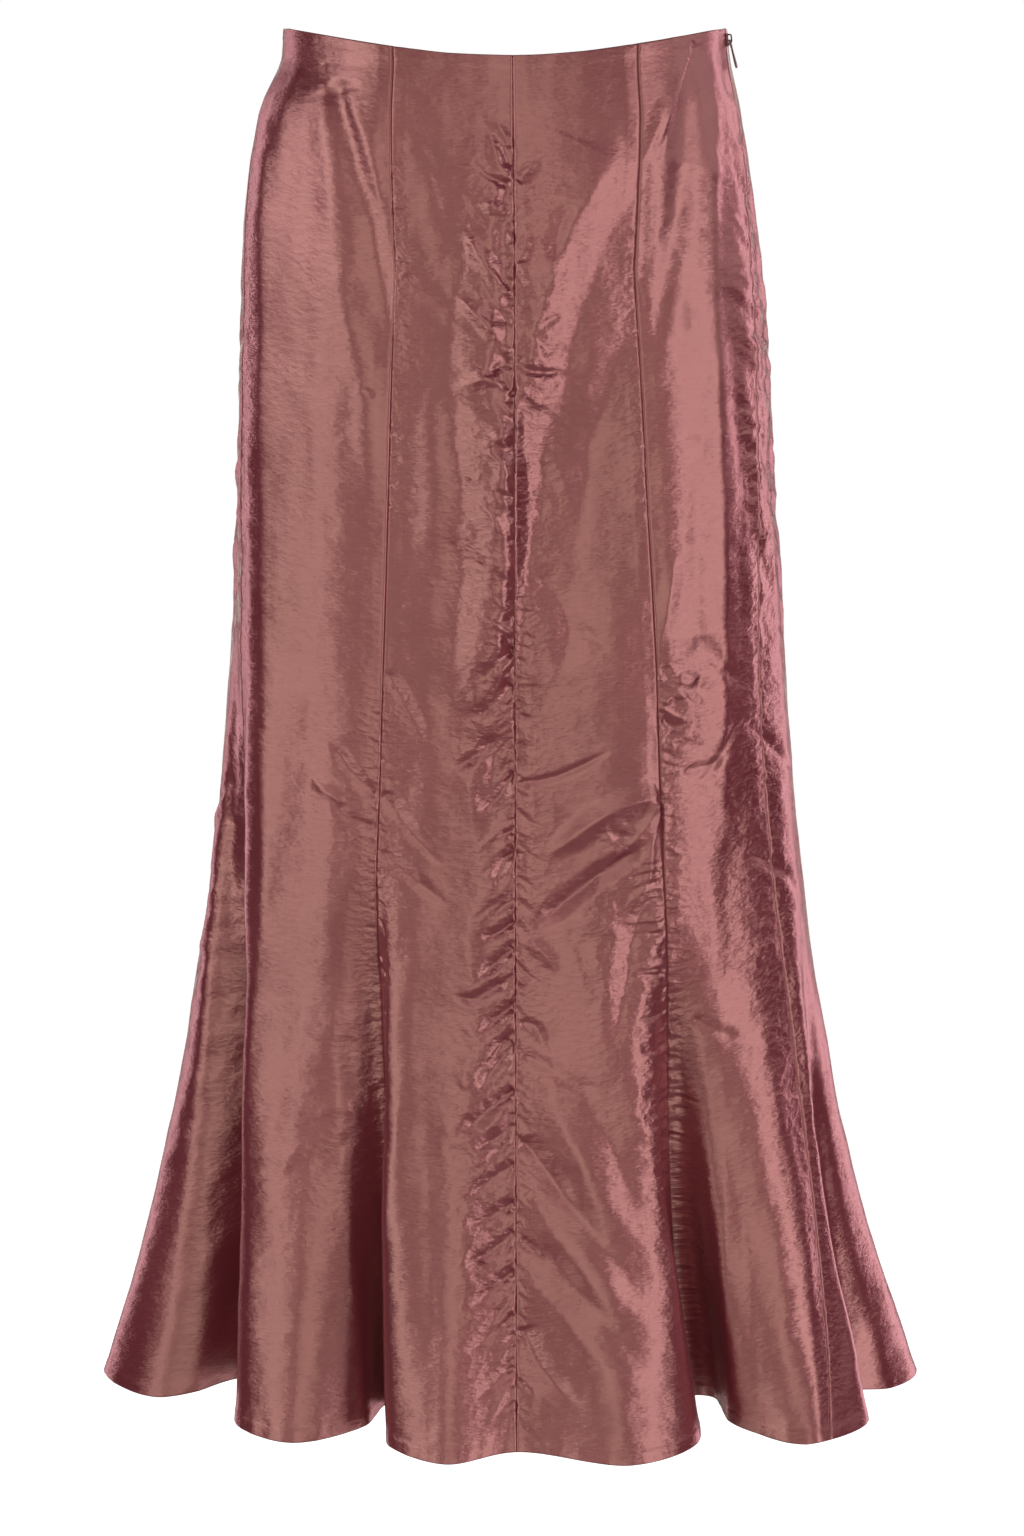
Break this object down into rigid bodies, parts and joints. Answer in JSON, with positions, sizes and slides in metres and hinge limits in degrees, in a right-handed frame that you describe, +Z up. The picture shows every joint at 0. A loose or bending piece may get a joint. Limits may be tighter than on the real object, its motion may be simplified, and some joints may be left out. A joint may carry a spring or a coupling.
{
  "type": "mermaid fishtail skirt",
  "caption": "Long fitted skirt in crisp two-tone taffeta, cut in gores that flare into deep flutes below the knee, with a faced waist edge and a concealed side zip.",
  "frame": {"origin": "centre of the waist opening, level with the waist edge at the side seams", "axes": "+Z up along the skirt's length, +X to the wearer's left where the zip is, -Y to the front"},
  "size_m": [0.5924, 0.377, 0.9635],
  "materials": {
    "taffeta": "crisp shot taffeta, dusty rose with a pink flash, satin sheen",
    "zip_metal": "dark rose enamel, semi-gloss"
  },
  "bodies": {
    "skirt": {"front_centre_left": "taffeta", "front_centre_right": "taffeta", "front_side_left": "taffeta", "front_side_right": "taffeta", "back_side_left": "taffeta", "back_side_right": "taffeta", "back_centre_left": "taffeta", "back_centre_right": "taffeta", "zip_slider": "zip_metal"},
    "pull_tab": {"zip_pull": "zip_metal"}
  },
  "joints": [
    {"name": "pull_swing", "type": "hinge", "parent": "skirt", "child": "pull_tab", "pos_m": [0.15114, -0.0193, -0.00789], "axis": [-0.2509, -0.968, 0], "range_deg": [0, 120]}
  ]
}
